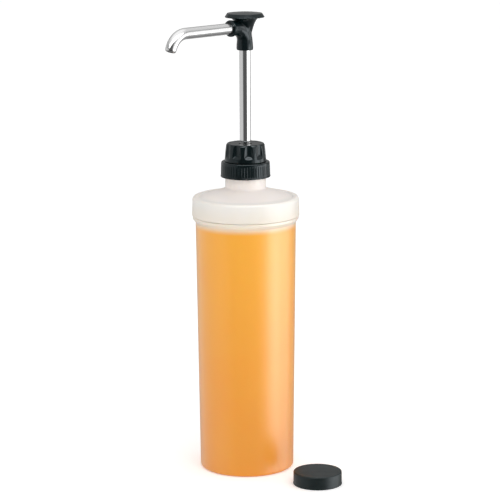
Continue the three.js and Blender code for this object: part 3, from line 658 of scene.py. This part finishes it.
def closure_ring():
    """The ribbed screw ring, open at the top for the pump, with a plain band at its foot."""
    bottom, top = low("closure_ring").z, high("closure_ring").z
    foot, hole, plate = radius_of("closure_ring"), 14.7, 1.8
    taper, rise, rows = 0.3, 9.9, 12
    wall_rows = [
        (foot - 0.2 - taper * k / rows, bottom + 1.3 + rise * k / rows) for k in range(rows + 1)
    ]
    profile = [
        (CAP_BORE, bottom, 0.2),
        (foot, bottom, 0.35),
        (foot, bottom + 1.0, 0.2),
        *wall_rows,
        (20.9, bottom + 11.4),
        (20.6, top, 1.6),
        (hole, top, 0.2),
        (hole, top - plate),
        (CAP_BORE, top - plate),
    ]
    body = turned_mesh(profile, RIBS * RIB_STEPS, ribbed(bottom + 1.2, bottom + 11.5))
    start = 150  # degrees, half a pitch below the lid's thread there
    thread_z = NECK_THREAD_Z + NECK_PITCH * (start / 360 - 0.5)
    thread = thread_mesh(
        CAP_BORE, CAP_THREAD_CREST, NECK_THREAD_WIDTH, NECK_PITCH, thread_z, start
    )
    piece = made("closure_ribbed", *merged(body, thread), sharp_degrees=30)
    finished(piece, "closure_ring", "closure", "black_gloss")


FLUTES = 10
FLUTE_RADIUS = 5.2
FLUTE_CENTRE = 20.6
FLUTE_BOTTOM = 273.0
LEDGE_RISE = 3.2  # from the flutes' bottom to the inner end of their sloping ledges
LEDGE_SLOPE = 55  # degrees from level
FIRST_FLUTE = -35.4  # degrees from +x


def collar_field(points):
    """Distance to the fluted collar: a turned body less ten upright scoops."""
    edge = 0.35
    r = np.hypot(points[:, 0], points[:, 1])
    outline = [
        (14.6, 270.0),
        (17.9, 270.0),
        (17.2, 278.3),
        (16.5, 283.9),
        (15.6, 285.3),
        (14.5, 285.3),
        (13.2, 284.9),
        (5.4, 284.9),
        (5.4, 281.3),
        (14.6, 281.3),
    ]
    body = polygon_distance(np.stack([r, points[:, 2]], axis=1), outline)
    step = 2 * math.pi / FLUTES
    angle = np.arctan2(points[:, 1], points[:, 0]) - math.radians(FIRST_FLUTE)
    angle = (angle + step / 2) % step - step / 2
    x, y = r * np.cos(angle) - FLUTE_CENTRE, r * np.sin(angle)
    scoop = np.hypot(x, y) - FLUTE_RADIUS
    slope = math.radians(LEDGE_SLOPE)
    inward = FLUTE_CENTRE - FLUTE_RADIUS - r * np.cos(angle)
    ledge = FLUTE_BOTTOM + LEDGE_RISE + inward * math.tan(slope) - points[:, 2]
    scoop = smooth_max(scoop, ledge * math.cos(slope), 0.8)
    return smooth_max(body, -scoop, edge)


def lock_collar():
    piece = field_piece("lock_collar_fluted", "lock_collar", collar_field, sharp_degrees=35)
    finished(piece, "lock_collar", "collar", "black_gloss")


def storage_cap():
    """The loose screw cap: a plain drum with a slightly wider foot."""
    centre = (low("storage_cap") + high("storage_cap")) / 2
    height = high("storage_cap").z
    radius, plate = 20.65, 1.5
    profile = [
        (CAP_BORE, 0, 0.2),
        (radius + 0.25, 0, 0.3),
        (radius + 0.22, 0.9, 0.5),
        (radius, 1.7, 0.5),
        (radius, height, 1.0),
        (0, height),
        (0, height - plate),
        (CAP_BORE, height - plate, 0.5),
    ]
    body = turned_mesh(profile, WIDE)
    thread = thread_mesh(
        CAP_BORE, CAP_THREAD_CREST, NECK_THREAD_WIDTH, NECK_PITCH, start_z=1.8
    )
    vertices, faces = merged(body, thread)
    vertices = [(x + centre.x, y + centre.y, z) for x, y, z in vertices]
    piece = made("storage_cap_shell", vertices, faces)
    finished(piece, "storage_cap", "spare_cap", "black_satin")


# ------------------------------------------------------------------ pump below the lid


def pump_barrel():
    """The barrel: socket for the dip tube, valve housing, cylinder, flange and threaded stub."""
    barrel, bore, flange = 14.2, 12.3, radius_of("pump_cylinder")
    socket, socket_bore, housing, passage, stub = 6.9, 5.05, 9.8, 3.6, 13.6
    bottom, top = low("pump_cylinder").z, high("pump_cylinder").z
    profile = [
        (socket_bore, bottom, 0.2),
        (socket, bottom, 0.5),
        (socket, 146.8, 1.5),
        (housing, 149.8, 1.5),
        (housing, 156.5, 1.5),
        (barrel, 160.5, 2),
        (barrel, 265.8, 0.4),
        (flange, 265.8, 0.3),
        (flange, 267.6, 0.3),
        (stub, 267.6, 0.4),
        (stub, top, 0.3),
        (bore, top, 0.3),
        (bore, 160.5),
        (8.0, 160.5),
        (8.0, 149.8),
        (passage, 149.8),
        (passage, 148.2),
        (socket_bore, 148.2),
    ]
    thread = thread_mesh(stub, crest=14.3, width=1.4, pitch=3.0, start_z=273.4)
    piece = made("pump_barrel_shell", *merged(turned_mesh(profile, SLIM), thread))
    finished(piece, "pump_cylinder", "pump_barrel", "natural_plastic")


def dip_tube():
    """The suction tube, its lower end cut at a slant."""
    radius, bore, slant = radius_of("dip_tube"), 3.6, math.tan(math.pi / 5)
    bottom, top = low("dip_tube").z, high("dip_tube").z
    profile = [(bore, bottom), (radius, bottom), (radius, top, 0.2), (bore, top, 0.2)]
    vertices, faces = turned_mesh(profile, SLIM)
    cut = [
        (x, y, z if z > bottom + 1 else bottom + (radius - x) * slant) for x, y, z in vertices
    ]
    piece = made("dip_tube_cut", cut, faces)
    finished(piece, "dip_tube", "pump_barrel", "natural_plastic")


def return_spring():
    """A coil with one closed turn at each end."""
    seat, top = low("return_spring").z, high("return_spring").z
    wire, mean, turns, steps = 0.65, 10.2, 13, 32
    closed_pitch = 2 * wire + 0.15
    open_pitch = (top - seat - 2 * wire - 2 * closed_pitch) / (turns - 2)

    def station(i):
        turn = i / steps
        rise = min(turn, 1) * closed_pitch + min(max(turn - 1, 0), turns - 2) * open_pitch
        rise += max(turn - turns + 1, 0) * closed_pitch
        cos, sin = math.cos(2 * math.pi * turn), math.sin(2 * math.pi * turn)
        return lambda x, y: ((mean + x) * cos, (mean + x) * sin, seat + wire + rise + y)

    coil = swept_mesh(circle(wire, 12), [station(i) for i in range(turns * steps + 1)])
    piece = made("return_spring_coil", *coil)
    finished(piece, "return_spring", "pump_barrel", "spring_steel")
    joint = next(j for j in frame["joints"] if j["name"] == "pump_stroke")
    stroke = max(joint["range_m"]) / MM
    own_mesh(piece)


# ------------------------------------------------------------------ plunger, head and spout

TUBE_RADIUS = radius_of("plunger_tube")
TUBE_BORE = 4.0


def plunger_tube():
    bottom, top = low("plunger_tube").z, high("plunger_tube").z
    profile = [
        (TUBE_BORE, bottom, 0.1),
        (TUBE_RADIUS, bottom, 0.2),
        (TUBE_RADIUS, top, 0.2),
        (TUBE_BORE, top, 0.1),
    ]
    piece = made("plunger_tube_polished", *turned_mesh(profile, SLIM))
    finished(piece, "plunger_tube", "plunger", "polished_steel")


SPOUT_Z = (low("spout_seal").z + high("spout_seal").z) / 2
HEAD_BOTTOM = low("pump_head").z
HEAD_TOP = high("pump_head").z
HEAD_FACE = -low("pump_head").y  # how far forward the spout's socket ends
DISC_BOTTOM = HEAD_BOTTOM + 27.8
FAR = 1e3  # a distance that never is the smallest

STEM = [  # height above the head's bottom, radius
    (0.0, 6.95),
    (3.0, 7.0),
    (6.0, 6.75),
    (9.0, 6.25),
    (12.0, 5.75),
    (14.0, 5.8),
    (17.0, 6.55),
    (20.0, 7.45),
    (23.0, 8.55),
    (25.5, 9.9),
    (27.2, 11.4),
    (27.8, 12.2),
]


def pipe_distance(points, bend, z_axis):
    """Distance to the elbow's centre line: up the axis, round a bend, out to the spout's socket."""
    forward, x, z = -points[:, 1], points[:, 0], points[:, 2]
    turn_z = z_axis - bend
    upright = np.where(z <= turn_z, np.hypot(x, forward), FAR)
    level = np.where(forward >= bend, np.hypot(x, z - z_axis), FAR)
    round_bend = np.hypot(x, np.hypot(forward - bend, z - turn_z) - bend)
    round_bend = np.where((forward <= bend) & (z >= turn_z), round_bend, FAR)
    return np.minimum(np.minimum(upright, level), round_bend)


def stem_distance(r, z):
    """Distance to the stem and the trumpet above it, from a smoothed curve through STEM."""
    heights = np.array([height for height, _ in STEM]) + HEAD_BOTTOM
    radii = np.array([size for _, size in STEM])
    fine = np.linspace(heights[0], heights[-1], 200)
    window = np.hanning(23)
    padded = np.pad(np.interp(fine, heights, radii), len(window) // 2, mode="edge")
    curve = np.convolve(padded, window / window.sum(), mode="valid")
    wall = np.interp(z, fine, curve)
    slope = np.interp(z, fine, np.gradient(curve, fine))
    return np.maximum((r - wall) / np.sqrt(1 + slope**2), z - (DISC_BOTTOM + 1))


def disc_distance(r, z):
    """Distance to the button: a flat-bottomed disc with a bevelled rim and a crowned top."""
    rim, bevel, crown = 16.75, 15.0, 13.7
    edge = 0.35
    half = [(rim - edge, DISC_BOTTOM + edge), (rim - edge, DISC_BOTTOM + 0.45)]
    half += [(bevel - edge, DISC_BOTTOM + 3.1), (crown, HEAD_TOP - 0.9 - edge)]
    outline = [*half, (0, HEAD_TOP - edge), *((-size, height) for size, height in half[::-1])]
    return polygon_distance(np.stack([r, z], axis=1), outline) - edge


def lip_distance(across, forward):
    """Distance to the rounded lip round the spout's socket."""
    radius, length, edge = 7.0, 3.0, 0.8
    back, front, side = HEAD_FACE - length + edge, HEAD_FACE - edge, radius - edge
    outline = [(-side, back), (side, back), (side, front), (-side, front)]
    return polygon_distance(np.stack([across, forward], axis=1), outline) - edge


def head_field(points):
    """Distance to the moulded head: stem and trumpet, button disc, elbow and socket lip."""
    elbow_bend, pipe = 12.3, 6.3
    hole, tube_depth, spout_depth = TUBE_RADIUS + 0.15, 12, 9
    r = np.hypot(points[:, 0], points[:, 1])
    forward, z = -points[:, 1], points[:, 2]
    across = np.hypot(points[:, 0], z - SPOUT_Z)
    elbow = pipe_distance(points, elbow_bend, SPOUT_Z) - pipe
    elbow = np.maximum(elbow, forward - (HEAD_FACE - 0.6))
    body = smooth_min(stem_distance(r, z), elbow, 1.2)
    body = smooth_max(body, HEAD_BOTTOM - z, 1.3)
    body = smooth_min(body, disc_distance(r, z), 0.8)
    body = smooth_min(body, lip_distance(across, forward), 0.5)
    tube_hole = smooth_max(r - hole, z - (HEAD_BOTTOM + tube_depth), 0.2)
    spout_hole = smooth_max(across - hole, (HEAD_FACE - spout_depth) - forward, 0.2)
    body = smooth_max(body, -tube_hole, 0.3)
    return smooth_max(body, -spout_hole, 0.3)


def pump_head():
    piece = field_piece("pump_head_moulding", "pump_head", head_field, sharp_degrees=80)
    finished(piece, "pump_head", "plunger", "black_gloss")


def spout_tube():
    """A bent tube with its end rolled in to a smaller mouth."""
    root, bend_y = 8.6, 69.4  # where the tube starts in the head, and where its bend starts
    bend, down = 17.2, math.radians(70)
    tip, roll = 2.8, 2.3  # the straight end after the bend, and the rolled part of it
    mouth = 0.68  # the mouth's share of the tube's radius
    wall = TUBE_RADIUS - TUBE_BORE
    sides, bend_steps, roll_steps = 72, 28, 10
    straight, bent = bend_y - root, bend * down

    def along(distance):
        """(forward, height, angle down) at a distance from the root."""
        if distance <= straight:
            return root + distance, SPOUT_Z, 0
        angle = min((distance - straight) / bend, down)
        rest = max(distance - straight - bent, 0)
        forward = bend_y + bend * math.sin(angle) + rest * math.cos(angle)
        return forward, SPOUT_Z - bend * (1 - math.cos(angle)) - rest * math.sin(angle), angle

    total = straight + bent + tip
    distances = [0, 20, 40, straight - 0.5]
    distances += [straight + bent * k / bend_steps for k in range(bend_steps + 1)]
    distances += [total - roll - 0.1]
    rows = [(d, TUBE_RADIUS) for d in distances]
    for k in range(1, roll_steps + 1):
        share = math.sin(math.pi / 2 * k / roll_steps)
        shrink = (1 - mouth) * (1 - math.cos(math.pi / 2 * k / roll_steps))
        rows.append((total - roll + roll * share, TUBE_RADIUS * (1 - shrink)))
    tip_radius = rows[-1][1]
    rows.append((total - 0.15, tip_radius - 0.45))
    rows += [(d, size - wall) for d, size in reversed(rows[:-1]) if size > wall and d < total - 0.6]
    vertices = []
    for distance, size in rows:
        forward, z, angle = along(distance)
        for k in range(sides):
            turn = 2 * math.pi * k / sides
            up = size * math.sin(turn)
            y = -(forward + up * math.sin(angle))
            vertices.append((size * math.cos(turn), y, z + up * math.cos(angle)))
    faces = []
    for row in range(len(rows)):
        after = (row + 1) % len(rows)
        for k in range(sides):
            n = (k + 1) % sides
            faces.append([row * sides + k, row * sides + n, after * sides + n, after * sides + k])
    piece = made("spout_tube_polished", vertices, faces)
    finished(piece, "spout_tube", "plunger", "polished_steel", SPOUT_STEEL)


# ------------------------------------------------------------------ the studio

CAMERA_AZIMUTH = 45.0
CAMERA_DISTANCE = 1.9  # level distance from the jar's axis
CAMERA_HEIGHT = 0.585
CAMERA_LENS = 162.0
CAMERA_ROLL = -0.3
AIM_HEIGHT = 0.1919
AIM_RIGHT = 0.0035
SIN_AZIMUTH = math.sin(math.radians(CAMERA_AZIMUTH))
COS_AZIMUTH = math.cos(math.radians(CAMERA_AZIMUTH))
TOWARDS = Vector((SIN_AZIMUTH, -COS_AZIMUTH, 0))  # level, from the jar's axis to the camera
RIGHT = Vector((COS_AZIMUTH, SIN_AZIMUTH, 0))  # level, to the camera's right


def camera():
    data = bpy.data.cameras.new("camera")
    data.lens = CAMERA_LENS
    data.sensor_width = 36.0
    data.clip_end = 100
    item = bpy.data.objects.new("camera", data)
    bpy.context.scene.collection.objects.link(item)
    item.location = TOWARDS * CAMERA_DISTANCE + Vector((0, 0, CAMERA_HEIGHT))
    aim = RIGHT * AIM_RIGHT + Vector((0, 0, AIM_HEIGHT))
    look = (aim - item.location).to_track_quat("-Z", "Y")
    roll = Quaternion((0, 0, 1), math.radians(CAMERA_ROLL))
    item.rotation_mode = "QUATERNION"
    item.rotation_quaternion = look @ roll
    bpy.context.scene.camera = item


def floor():
    """A pale disc just under the jar, seen directly and lit, but in no reflection."""
    radius, drop, sides = 9000, 0.05, 96
    vertices = [(x, y, -drop) for x, y in circle(radius, sides)]
    piece = made("floor", vertices, [list(range(sides))])
    paint = Paint("floor", (0.94, 0.94, 0.94), 0.7)
    paint.set(**{"Emission Color": (1, 1, 1, 1), "Emission Strength": 0.22})
    paint.vary_roughness(paint.noise(3, 2), 0.65, 0.75)
    paint.set(**{"Specular IOR Level": 0.2})
    piece.data.materials.append(paint.material)
    piece.visible_glossy = False
    piece.visible_shadow = False


LIGHT_AIM_HEIGHT = 0.25
LIGHTS = [  # the first and last only shine in reflections, and the key only lights
    {"name": "right_softbox", "azimuth": 70, "elevation": -14, "distance": 1.6, "width": 0.9,
     "height": 1.0, "radiance": 3.0, "diffuse": False, "glossy": True},
    {"name": "key", "azimuth": 14, "elevation": 26, "distance": 2.4, "width": 2.0,
     "height": 1.5, "radiance": 2.6, "diffuse": True, "glossy": False},
    {"name": "top_softbox", "azimuth": 16, "elevation": 50, "distance": 1.8, "width": 3.6,
     "height": 0.6, "radiance": 5.5, "diffuse": False, "glossy": True},
]


def area_light(name, azimuth, elevation, distance, width, height, radiance, diffuse, glossy):
    """A softbox, its azimuth measured from the camera's side towards the camera's right."""
    data = bpy.data.lights.new(name, "AREA")
    data.shape = "RECTANGLE"
    data.size, data.size_y = width, height
    data.energy = radiance * width * height * math.pi
    item = bpy.data.objects.new(name, data)
    bpy.context.scene.collection.objects.link(item)
    a, e = math.radians(azimuth), math.radians(elevation)
    level = TOWARDS * math.cos(a) + RIGHT * math.sin(a)
    aim = Vector((0, 0, LIGHT_AIM_HEIGHT))
    item.location = aim + (level * math.cos(e) + Vector((0, 0, math.sin(e)))) * distance
    item.rotation_mode = "QUATERNION"
    item.rotation_quaternion = (aim - item.location).to_track_quat("-Z", "Y")
    item.visible_diffuse, item.visible_glossy = diffuse, glossy


# The studio's brightness near the horizon, by azimuth in degrees from the camera towards its right.
HORIZON = [(-180, 0.3), (-158, 0.32), (-146, 0.8), (-60, 0.8), (-44, 1.3), (-38, 1.3), (-34, 0.8)]
HORIZON += [(34, 0.8), (37, 2.4), (44, 1.8), (52, 1.2), (90, 1.2), (95, 2.6), (114, 2.6)]
HORIZON += [(121, 0.3), (180, 0.3)]
# Its brightness above and below that, by elevation.
LEVELS = [(-90, 0.3), (-48, 0.3), (-28, 0.5), (-22, 0.5), (18, 0.5), (32, 0.5), (36, 0.85), (50, 0.9)]
LEVELS += [(62, 1.3), (90, 1.3)]
# Elevations: HORIZON takes over between the first two and gives way between the last two.
HORIZON_BAND = (-25, -20, 14, 21)
# The unlit room round the camera: what is left of the light, by azimuth, and its elevations.
DARK_FRONT = [(-60, 1), (-34, 0.15), (34, 0.15), (52, 1)]
DARK_BAND = (-75, -60, 34, 46)
CAMERA_WHITE = 1.0  # the background, as the camera sees it


class Sky:
    """The world's nodes: what the studio looks like in each direction."""

    def __init__(self, tree):
        self.tree = tree
        self.direction = tree.nodes.new("ShaderNodeTexCoord").outputs["Generated"]

    def feed(self, socket, value):
        if isinstance(value, bpy.types.NodeSocket):
            self.tree.links.new(value, socket)
        else:
            socket.default_value = value

    def calculated(self, operation, first, second=0.0):
        node = self.tree.nodes.new("ShaderNodeMath")
        node.operation = operation
        self.feed(node.inputs[0], first)
        self.feed(node.inputs[1], second)
        return node.outputs[0]

    def along(self, axis):
        node = self.tree.nodes.new("ShaderNodeVectorMath")
        node.operation = "DOT_PRODUCT"
        self.feed(node.inputs[0], self.direction)
        node.inputs[1].default_value = axis
        return node.outputs["Value"]

    def ramp(self, share, stops):
        """A grey for a share of 0 to 1, from (share, brightness) stops."""
        node = self.tree.nodes.new("ShaderNodeValToRGB")
        self.feed(node.inputs[0], share)
        elements = node.color_ramp.elements
        while len(elements) < len(stops):
            elements.new(0.5)
        for element, (position, level) in zip(elements, stops):
            element.position = position
            element.color = (level, level, level, 1)
        return node.outputs[0]

    def mixed(self, share, first, second):
        node = self.tree.nodes.new("ShaderNodeMix")
        node.data_type = "RGBA"
        for index, value in ((0, share), (6, first), (7, second)):
            self.feed(node.inputs[index], value)
        return node.outputs[2]


def world():
    item = bpy.data.worlds.new("studio")
    bpy.context.scene.world = item
    item.use_nodes = True
    tree = item.node_tree
    tree.nodes.clear()
    sky = Sky(tree)
    turn = sky.calculated("ARCTAN2", sky.along(RIGHT), sky.along(TOWARDS))
    turn = sky.calculated("ADD", sky.calculated("DIVIDE", turn, 2 * math.pi), 0.5)
    pattern = sky.ramp(turn, [(degrees / 360 + 0.5, level) for degrees, level in HORIZON])
    tilt = sky.calculated("ARCSINE", sky.along((0, 0, 1)))
    tilt = sky.calculated("ADD", sky.calculated("DIVIDE", tilt, math.pi), 0.5)
    levels = sky.ramp(tilt, [(degrees / 180 + 0.5, level) for degrees, level in LEVELS])
    band = [(degrees / 180 + 0.5, level) for degrees, level in zip(HORIZON_BAND, (0, 1, 1, 0))]
    front = sky.ramp(turn, [(degrees / 360 + 0.5, level) for degrees, level in DARK_FRONT])
    shade = [(degrees / 180 + 0.5, level) for degrees, level in zip(DARK_BAND, (0, 1, 1, 0))]
    front = sky.mixed(sky.ramp(tilt, shade), (1, 1, 1, 1), front)
    lit = tree.nodes.new("ShaderNodeBackground")
    sky.feed(lit.inputs["Color"], sky.mixed(sky.ramp(tilt, band), levels, pattern))
    sky.feed(lit.inputs["Strength"], front)
    plain = tree.nodes.new("ShaderNodeBackground")
    plain.inputs["Color"].default_value = (CAMERA_WHITE, CAMERA_WHITE, CAMERA_WHITE, 1)
    path = tree.nodes.new("ShaderNodeLightPath")
    both = tree.nodes.new("ShaderNodeMixShader")
    sky.feed(both.inputs[0], path.outputs["Is Camera Ray"])
    sky.feed(both.inputs[1], lit.outputs[0])
    sky.feed(both.inputs[2], plain.outputs[0])
    output = tree.nodes.new("ShaderNodeOutputWorld")
    sky.feed(output.inputs["Surface"], both.outputs[0])


def studio():
    camera()
    floor()
    world()
    for light in LIGHTS:
        area_light(**light)
    settings = bpy.context.scene.view_settings
    settings.view_transform = "Standard"
    settings.look = "None"


# ------------------------------------------------------------------ the scene

studio()
jar()
sauce()
jar_lid()
closure_ring()
lock_collar()
storage_cap()
pump_barrel()
dip_tube()
return_spring()
plunger_tube()
pump_head()
spout_tube()

# Every CAD node takes its slot's paint: the inner ones that no piece replaces are seen with it.
slots = {s["node"]: s["material_slot"] for s in frame["record"]["subparts"]}
for node, item in frame["nodes"].items():
    item.data.materials.clear()
    item.data.materials.append(PAINTS[slots[node]])
